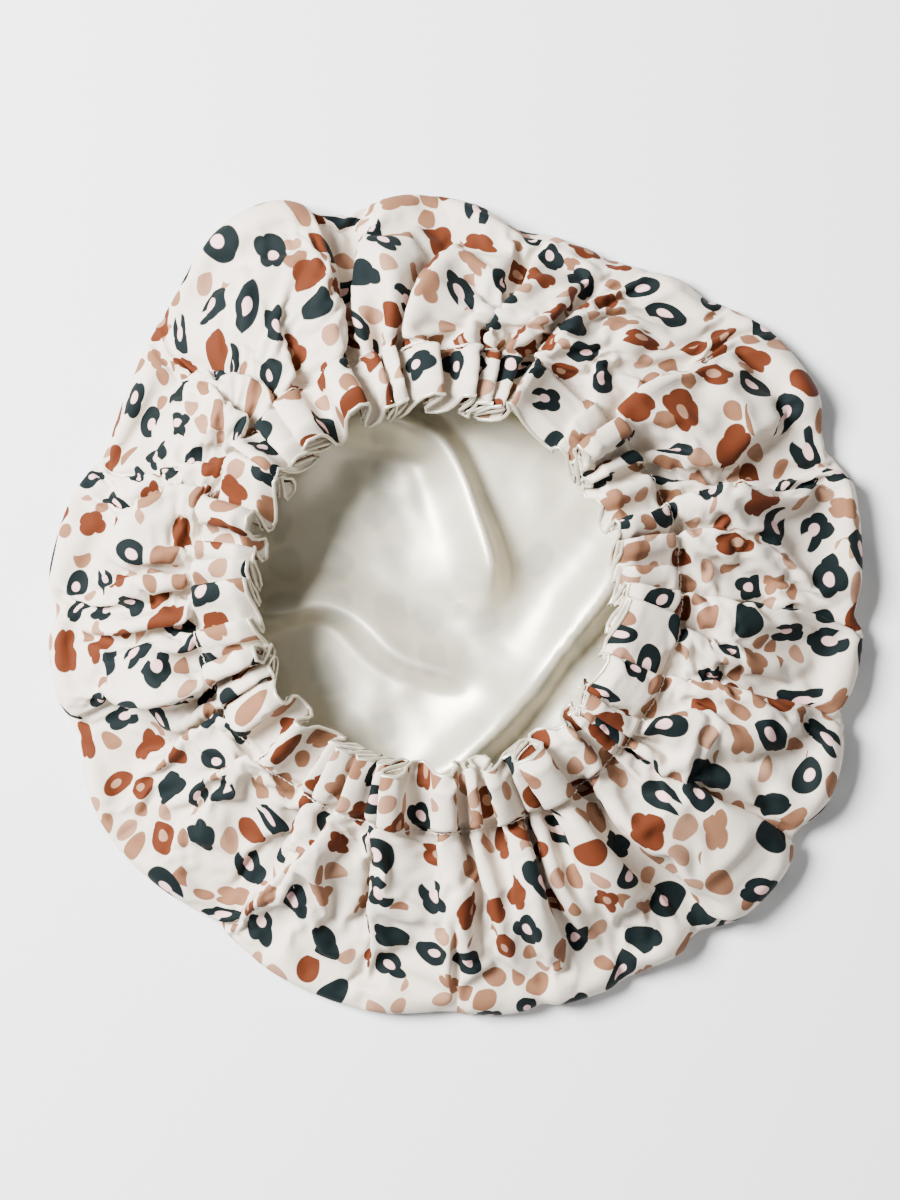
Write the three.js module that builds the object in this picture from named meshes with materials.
// A satin-lined sleep bonnet, lying on its crown with the gathered mouth upwards.
// Two round panels, a print outside and a satin inside, are sewn together along the rim and again a
// casing's depth below it. A loop of flat elastic lies in that casing and draws the mouth in.
// Millimetres, +Z up. The origin is on the table, under the middle of the bonnet's outline.
import * as THREE from "three";

// Driving dimensions of the bonnet as it lies
const FLAT_RADIUS = 172; // mean radius of the outline
const MOUTH_RADIUS = 75; // rim of the relaxed mouth
const MOUTH_OFFSET_X = -6.5; // the mouth lies a little off the middle of the outline
const MOUTH_OFFSET_Y = 4.4;
const EDGE_ROLL = 6.5; // radius of the soft fold where the crown turns up and over
const SEAM_HEIGHT = 36; // casing seam above the table
const CASING_LEAN = 24; // degrees that the casing rises towards the mouth

// Driving dimensions of the materials
const PRINT_THICKNESS = 0.5;
const SATIN_THICKNESS = 0.4;
const ELASTIC_WIDTH = 19;
const ELASTIC_THICKNESS = 1;
const ELASTIC_LAP = 18; // length over which the elastic's ends lie on each other
const CASING_EASE = 4.5; // room in the casing on each side of the elastic
const THREAD_RADIUS = 0.25;
const CLEARANCE = 0.3; // between pieces that lie on each other

// Folds of the cloth: ridges and valleys take turns round the mouth
const FOLD_COUNT = 22;
const EDGE_FOLD = 3; // how far folds stand out of the rolled edge
const SEAM_FOLD = 2.5; // and out of the casing seam
const PRINT_RUFFLE = 8; // and out of the casing, up from the elastic
const SATIN_RUFFLE = 4; // and down from it
const RIM_FOLD = 5; // and along the rim

// The top, from the rolled edge (share 0) to the casing seam (share 1): how far it sags (-) or swells (+)
// off the straight way, and how far folds stand out of it on both sides
const TOP_ROWS = [
  { share: 0, swell: 0, fold: EDGE_FOLD },
  { share: 0.25, swell: -2, fold: 6 },
  { share: 0.5, swell: 3.5, fold: 7 },
  { share: 0.75, swell: 5, fold: 6.5 },
  { share: 1, swell: 0, fold: SEAM_FOLD },
];

// Where the outline swells (+) or draws in (-), by bearing round the mouth in degrees
const OUTLINE_LOBES = [
  { bearing: 26, swell: 7, halfWidth: 14 },
  { bearing: 68, swell: -17, halfWidth: 15 },
  { bearing: 119, swell: 18, halfWidth: 14 },
  { bearing: 152, swell: -9, halfWidth: 18 },
  { bearing: 240, swell: -4, halfWidth: 30 },
  { bearing: 324, swell: 9, halfWidth: 18 },
];

// Soft ridges in the satin that lies in the crown, as points in the plane of the table
const SATIN_RIDGES = [
  { height: 12, halfWidth: 12, points: [[-40, 76], [-13, 71], [0, 37], [11, 0]] },
  { height: 13, halfWidth: 15, points: [[66, 24], [49, -11], [26, -33], [-5, -59]] },
  { height: 10, halfWidth: 13, points: [[-80, 0], [-52, 7], [-26, -16], [11, -24]] },
];
const CROWN_RINGS = [0.12, 0.25, 0.38, 0.52]; // shares of the way out where the satin is shaped
const RIDGE_STEPS = 24;
const CORD_SIDES = 6;
const ELASTIC_SECTIONS = 72; // to the turn

// Sizes that follow from those
const LEAN = THREE.MathUtils.degToRad(CASING_LEAN);
const CASING_DEPTH = ELASTIC_WIDTH + 2 * CASING_EASE;
const CHANNEL_CORNER = 0.8 * CASING_EASE; // the casing is at its full height this far from its seams
const LAP_LIFT = (ELASTIC_THICKNESS + CLEARANCE) / 2; // of each lapped end from the middle of the casing
const LAP_HEIGHT = LAP_LIFT + ELASTIC_THICKNESS / 2;
const CHANNEL_ABOVE = LAP_HEIGHT + 2 * THREAD_RADIUS + 2 * CLEARANCE; // room for the lap's zigzag
const CHANNEL_BELOW = LAP_HEIGHT + CLEARANCE;
const COLUMNS = 2 * FOLD_COUNT;
const MOUTH = new THREE.Vector3(MOUTH_OFFSET_X, MOUTH_OFFSET_Y, 0);
const UP = new THREE.Vector3(0, 0, 1);
const DOWN = new THREE.Vector3(0, 0, -1);

const printCloth = new THREE.MeshStandardMaterial({ color: 0xe9e2d8, roughness: 0.8, metalness: 0 });
const ivorySatin = new THREE.MeshStandardMaterial({ color: 0xefece0, roughness: 0.35, metalness: 0 });
const whiteElastic = new THREE.MeshStandardMaterial({ color: 0xf4f3ef, roughness: 0.9, metalness: 0 });
const creamThread = new THREE.MeshStandardMaterial({ color: 0xf2eee6, roughness: 0.6, metalness: 0 });

// Each column of the cloth follows one ridge or one valley. Their spacing and strength vary gently.
const columns = Array.from({ length: COLUMNS }, (_, index) => {
  const even = (2 * Math.PI * index) / COLUMNS;
  const bearing = even + 0.3 * (Math.PI / COLUMNS) * (Math.sin(3 * even + 1) + Math.sin(7 * even));
  const strength = 0.8 + 0.2 * Math.sin(5 * even + 2);
  const ridge = index % 2 === 0;
  return {
    bearing,
    outward: new THREE.Vector3(Math.cos(bearing), Math.sin(bearing), 0),
    wave: ridge ? strength : -strength, // to both sides of the cloth's middle
    rise: ridge ? strength : 0, // up from the elastic, on the print's side
    dip: ridge ? 0 : strength, // down from the elastic, on the satin's side
  };
});

function outlineRadius(bearing) {
  const swells = OUTLINE_LOBES.map((lobe) => {
    const away = bearing - THREE.MathUtils.degToRad(lobe.bearing);
    const turned = Math.atan2(Math.sin(away), Math.cos(away));
    return lobe.swell * Math.exp(-((turned / THREE.MathUtils.degToRad(lobe.halfWidth)) ** 2));
  });
  return swells.reduce((sum, swell) => sum + swell, FLAT_RADIUS);
}

// A point on the table, outward from the mouth's axis, or from the middle of the outline.
const fromMouth = (column, radius, height) =>
  MOUTH.clone().addScaledVector(column.outward, radius).addScaledVector(UP, height);
const fromMiddle = (column, radius, height) =>
  column.outward.clone().multiplyScalar(radius).addScaledVector(UP, height);

// Rolled outer edge of the bonnet at an angle round the roll: -90 is on the table, 90 on top.
function edgePoint(column, degrees) {
  const angle = THREE.MathUtils.degToRad(degrees);
  const stand = EDGE_FOLD * column.wave * Math.cos(angle / 2) ** 2;
  const radius = outlineRadius(column.bearing) - EDGE_ROLL + (EDGE_ROLL + stand) * Math.cos(angle);
  return fromMiddle(column, radius, PRINT_THICKNESS + EDGE_ROLL * (1 + Math.sin(angle)));
}

// Middle of the casing, on a cone that rises from the casing seam (depth 0) to the rim.
const casingPoint = (column, depth) =>
  fromMouth(
    column,
    MOUTH_RADIUS + (CASING_DEPTH - depth) * Math.cos(LEAN),
    SEAM_HEIGHT + depth * Math.sin(LEAN),
  );
const casingNormal = (column) =>
  column.outward.clone().multiplyScalar(Math.sin(LEAN)).addScaledVector(UP, Math.cos(LEAN));
const offCasing = (column, depth, height) =>
  casingPoint(column, depth).addScaledVector(casingNormal(column), height);

// One row of the top, on its way from the rolled edge to the casing seam.
const EDGE_TOP = 65; // degrees round the roll where the top begins
function topPoint(column, { share, swell, fold }) {
  const plain = edgePoint(column, EDGE_TOP).lerp(casingPoint(column, 0), share);
  return plain.addScaledVector(UP, swell + fold * column.wave);
}

// The face where print and satin lie together, as rows of points from the crown to the casing seam.
const EDGE_ROWS = [-90, 0]; // degrees round the roll
function pouchRows() {
  const edge = EDGE_ROWS.map((degrees) => columns.map((column) => edgePoint(column, degrees)));
  const top = TOP_ROWS.map((row) => columns.map((column) => topPoint(column, row)));
  return [...edge, ...top];
}

// The casing's rows on one side of the elastic: side 1 is the print above it, -1 the satin below.
function casingRows(side) {
  const above = (column) => CHANNEL_ABOVE + PRINT_RUFFLE * column.rise;
  const below = (column) => -CHANNEL_BELOW - SATIN_RUFFLE * column.dip;
  const corner = (depth) =>
    columns.map((column) => offCasing(column, depth, side > 0 ? above(column) : below(column)));
  const rim = columns.map((column) =>
    offCasing(column, CASING_DEPTH, RIM_FOLD * column.wave + (side < 0 ? -CLEARANCE : 0)),
  );
  return [corner(CHANNEL_CORNER), corner(CASING_DEPTH - CHANNEL_CORNER), rim];
}

// Height of the satin's soft ridges over a point of the crown.
const ridgeLines = SATIN_RIDGES.map((ridge) => ({
  ...ridge,
  line: new THREE.SplineCurve(ridge.points.map(([x, y]) => new THREE.Vector2(x, y))).getPoints(RIDGE_STEPS),
}));
function satinRise(point) {
  const heights = ridgeLines.map(({ line, height, halfWidth }) => {
    const away = Math.min(...line.map((at) => Math.hypot(at.x - point.x, at.y - point.y)));
    return height * Math.exp(-((away / halfWidth) ** 2));
  });
  return Math.max(...heights);
}

// Triangles of a panel's face: a fan round the crown's middle, point 0, then rows of quads.
function faceTriangles(rowCount) {
  const triangles = [];
  const at = (row, column) => 1 + row * COLUMNS + (column % COLUMNS);
  for (let column = 0; column < COLUMNS; column += 1) {
    triangles.push([0, at(0, column + 1), at(0, column)]);
    for (let row = 0; row + 1 < rowCount; row += 1) {
      triangles.push([at(row, column), at(row, column + 1), at(row + 1, column)]);
      triangles.push([at(row, column + 1), at(row + 1, column + 1), at(row + 1, column)]);
    }
  }
  return triangles;
}

// Direction in which each point of a face moves so that all its triangles move out by 1 mm.
function offsetDirections(points, triangles) {
  const sums = points.map(() => new THREE.Vector3());
  const normals = triangles.map(([a, b, c]) => {
    const normal = new THREE.Triangle(points[a], points[b], points[c]).getNormal(new THREE.Vector3());
    [a, b, c].forEach((corner) => sums[corner].add(normal));
    return normal;
  });
  const shares = points.map(() => []);
  sums.forEach((sum) => sum.normalize());
  triangles.forEach((corners, index) =>
    corners.forEach((corner) => shares[corner].push(sums[corner].dot(normals[index]))),
  );
  return sums.map((sum, index) => {
    const share = shares[index].reduce((total, value) => total + value, 0) / shares[index].length;
    return sum.clone().divideScalar(share);
  });
}

function solidFrom(points, triangles) {
  const geometry = new THREE.BufferGeometry().setFromPoints(points);
  geometry.setIndex(triangles.flat());
  geometry.computeVertexNormals();
  return geometry;
}

// A sheet between two faces with the same rows, closed along the rim. The first face points out.
function sheet(outside, inside, triangles) {
  const count = outside.length;
  const back = triangles.map(([a, b, c]) => [count + a, count + c, count + b]);
  const rim = [];
  for (let column = 0; column < COLUMNS; column += 1) {
    const here = count - COLUMNS + column;
    const next = count - COLUMNS + ((column + 1) % COLUMNS);
    rim.push([here, next, count + here], [next, count + next, count + here]);
  }
  return solidFrom([...outside, ...inside], [...triangles, ...back, ...rim]);
}

const shifted = (points, directions, distance) =>
  points.map((point, index) => point.clone().addScaledVector(directions[index], distance));

// Print panel: its inner face lies on the common face, and it is flat where the crown rests.
function printPanel() {
  const rows = [...pouchRows(), ...casingRows(1)];
  const middle = MOUTH.clone().setZ(PRINT_THICKNESS);
  const points = [middle, ...rows.flat()];
  const triangles = faceTriangles(rows.length);
  const directions = offsetDirections(points, triangles);
  directions.fill(DOWN, 0, 1 + COLUMNS);
  return { rows, points, triangles, directions, outside: shifted(points, directions, PRINT_THICKNESS) };
}

// Satin panel: it lies inside the print with a slip of clearance, and ripples over the crown.
function satinPanel(print) {
  const pouchCount = pouchRows().length;
  const inset = shifted(print.points, print.directions, -CLEARANCE);
  const rowOf = (row) => inset.slice(1 + row * COLUMNS, 1 + (row + 1) * COLUMNS);
  const middle = inset[0];
  const floor = rowOf(0);
  const crown = CROWN_RINGS.map((share) => floor.map((point) => middle.clone().lerp(point, share)));
  [[middle], ...crown].flat().forEach((point) => point.addScaledVector(UP, satinRise(point)));
  const pouch = Array.from({ length: pouchCount }, (_, row) => rowOf(row));
  const rows = [...crown, ...pouch, ...casingRows(-1)];
  const points = [middle, ...rows.flat()];
  const triangles = faceTriangles(rows.length);
  const directions = offsetDirections(points, triangles);
  return { rows, triangles, points, inside: shifted(points, directions, -SATIN_THICKNESS), directions };
}

// A solid through a row of equal rings of points: joined end to end, or capped at both ends.
function loft(rings, closed) {
  const sides = rings[0].length;
  const triangles = [];
  const at = (ring, side) => (ring % rings.length) * sides + (side % sides);
  const spans = closed ? rings.length : rings.length - 1;
  for (let ring = 0; ring < spans; ring += 1) {
    for (let side = 0; side < sides; side += 1) {
      triangles.push([at(ring, side), at(ring, side + 1), at(ring + 1, side)]);
      triangles.push([at(ring, side + 1), at(ring + 1, side + 1), at(ring + 1, side)]);
    }
  }
  for (let side = 1; !closed && side + 1 < sides; side += 1) {
    const last = rings.length - 1;
    triangles.push([at(0, 0), at(0, side + 1), at(0, side)]);
    triangles.push([at(last, 0), at(last, side), at(last, side + 1)]);
  }
  return solidFrom(rings.flat(), triangles);
}

// A round thread along points, each of which knows the direction away from the cloth.
function thread(points, away, closed) {
  const count = points.length;
  const rings = points.map((point, index) => {
    const before = points[closed ? (index + count - 1) % count : Math.max(index - 1, 0)];
    const after = points[closed ? (index + 1) % count : Math.min(index + 1, count - 1)];
    const along = after.clone().sub(before).normalize();
    const across = new THREE.Vector3().crossVectors(away[index], along).normalize();
    const over = new THREE.Vector3().crossVectors(along, across);
    return Array.from({ length: CORD_SIDES }, (_, side) => {
      const angle = (2 * Math.PI * side) / CORD_SIDES;
      return point
        .clone()
        .addScaledVector(across, THREAD_RADIUS * Math.cos(angle))
        .addScaledVector(over, THREAD_RADIUS * Math.sin(angle));
    });
  });
  return loft(rings, closed);
}

// A row of thread lying on a face of the cloth, along one row of its points.
function threadOnRow(row, face, directions, side) {
  const start = 1 + row * COLUMNS;
  const away = directions.slice(start, start + COLUMNS).map((d) => d.clone().multiplyScalar(side));
  const lift = CLEARANCE + THREAD_RADIUS;
  return { points: shifted(face.slice(start, start + COLUMNS), away, lift), away };
}

// Elastic: one strip once round the casing, its end lapped over its start.
const lapAngle = ELASTIC_LAP / (MOUTH_RADIUS + (CASING_DEPTH / 2) * Math.cos(LEAN));
function elasticSection(turn) {
  const column = { outward: new THREE.Vector3(Math.cos(turn), Math.sin(turn), 0) };
  const share = THREE.MathUtils.smoothstep(turn, lapAngle, 2 * Math.PI);
  const middle = THREE.MathUtils.lerp(-LAP_LIFT, LAP_LIFT, share);
  const halfThick = ELASTIC_THICKNESS / 2;
  return [
    offCasing(column, CASING_EASE, middle - halfThick),
    offCasing(column, CASING_DEPTH - CASING_EASE, middle - halfThick),
    offCasing(column, CASING_DEPTH - CASING_EASE, middle + halfThick),
    offCasing(column, CASING_EASE, middle + halfThick),
  ];
}
function elasticBand() {
  const whole = 2 * Math.PI + lapAngle;
  const rings = Array.from({ length: ELASTIC_SECTIONS + 1 }, (_, index) =>
    elasticSection((whole * index) / ELASTIC_SECTIONS),
  );
  return loft(rings, false);
}

// Zigzag that sews the lapped ends of the elastic together, lying on the upper end.
const ZIGZAG_POINTS = 9;
const ZIGZAG_MARGIN = 0.2; // share of the elastic's width and lap left free at each side
function elasticZigzag() {
  const height = LAP_HEIGHT + CLEARANCE + THREAD_RADIUS;
  const points = [];
  const away = [];
  for (let index = 0; index < ZIGZAG_POINTS; index += 1) {
    const along = THREE.MathUtils.lerp(ZIGZAG_MARGIN, 1 - ZIGZAG_MARGIN, index / (ZIGZAG_POINTS - 1));
    const side = index % 2 === 0 ? ZIGZAG_MARGIN : 1 - ZIGZAG_MARGIN;
    const turn = along * lapAngle;
    const column = { outward: new THREE.Vector3(Math.cos(turn), Math.sin(turn), 0) };
    points.push(offCasing(column, CASING_EASE + side * ELASTIC_WIDTH, height));
    away.push(casingNormal(column));
  }
  return thread(points, away, false);
}

// Seam that joins print and satin just inside the rim, between the two layers.
function rimSeam(print, satin) {
  const rim = (panel) => panel.points.slice(-COLUMNS);
  const corner = (panel) => panel.points.slice(-2 * COLUMNS, -COLUMNS);
  const between = (a, b) => a.map((point, index) => point.clone().lerp(b[index], 0.5));
  const edge = between(rim(print), rim(satin));
  const inner = between(corner(print), corner(satin));
  return thread(between(edge, inner), columns.map(casingNormal), true);
}

// Short second row on the casing side of the seam, where the opening for the elastic was closed.
const CLOSING_BEARING = 57; // degrees where it begins
const CLOSING_LENGTH = 72; // along the folds
const CLOSING_SHARE = 0.45; // of the way from the seam to the casing's corner
function closingRow(print, seamRow) {
  const seam = threadOnRow(seamRow, print.outside, print.directions, 1);
  const corner = threadOnRow(seamRow + 1, print.outside, print.directions, 1);
  const first = Math.round((CLOSING_BEARING / 360) * COLUMNS);
  const points = [];
  const away = [];
  // One point on each column, and one where the way to the next column crosses from triangle to triangle
  for (let step = 0; step < COLUMNS; step += 1) {
    const column = (first + step) % COLUMNS;
    [column, (column + 1) % COLUMNS].forEach((foot) => {
      points.push(seam.points[foot].clone().lerp(corner.points[column], CLOSING_SHARE));
      away.push(seam.away[foot].clone().add(corner.away[column]).normalize());
    });
  }
  // The row ends part of the way along the step that uses up its length
  let used = 0;
  let end = 1;
  while (used + points[end].distanceTo(points[end - 1]) < CLOSING_LENGTH) {
    used += points[end].distanceTo(points[end - 1]);
    end += 1;
  }
  const share = (CLOSING_LENGTH - used) / points[end].distanceTo(points[end - 1]);
  points[end].lerpVectors(points[end - 1], points[end], share);
  return thread(points.slice(0, end + 1), away.slice(0, end + 1), false);
}

const bonnet = new THREE.Group();
function add(name, geometry, material) {
  const mesh = new THREE.Mesh(geometry, material);
  mesh.name = name;
  bonnet.add(mesh);
}

const print = printPanel();
const satin = satinPanel(print);
const printSeamRow = pouchRows().length - 1;
const satinSeamRow = printSeamRow + CROWN_RINGS.length;
const needle = threadOnRow(printSeamRow, print.outside, print.directions, 1);
const bobbin = threadOnRow(satinSeamRow, satin.inside, satin.directions, -1);

add("print_panel", sheet(print.outside, print.points, print.triangles), printCloth);
add("satin_lining", sheet(satin.points, satin.inside, satin.triangles), ivorySatin);
add("elastic_band", elasticBand(), whiteElastic);
add("elastic_lap_stitch", elasticZigzag(), creamThread);
add("casing_needle_thread", thread(needle.points, needle.away, true), creamThread);
add("casing_bobbin_thread", thread(bobbin.points, bobbin.away, true), creamThread);
add("casing_closing_stitch", closingRow(print, printSeamRow), creamThread);
add("rim_seam_thread", rimSeam(print, satin), creamThread);

// The mouth's axis is placed by its offset; the outline's box is then centred on the origin.
const box = new THREE.Box3().setFromObject(bonnet);
const middle = box.getCenter(new THREE.Vector3());
bonnet.position.set(-middle.x, -middle.y, -box.min.z);

const part = new THREE.Group();
part.add(bonnet);
export default part;
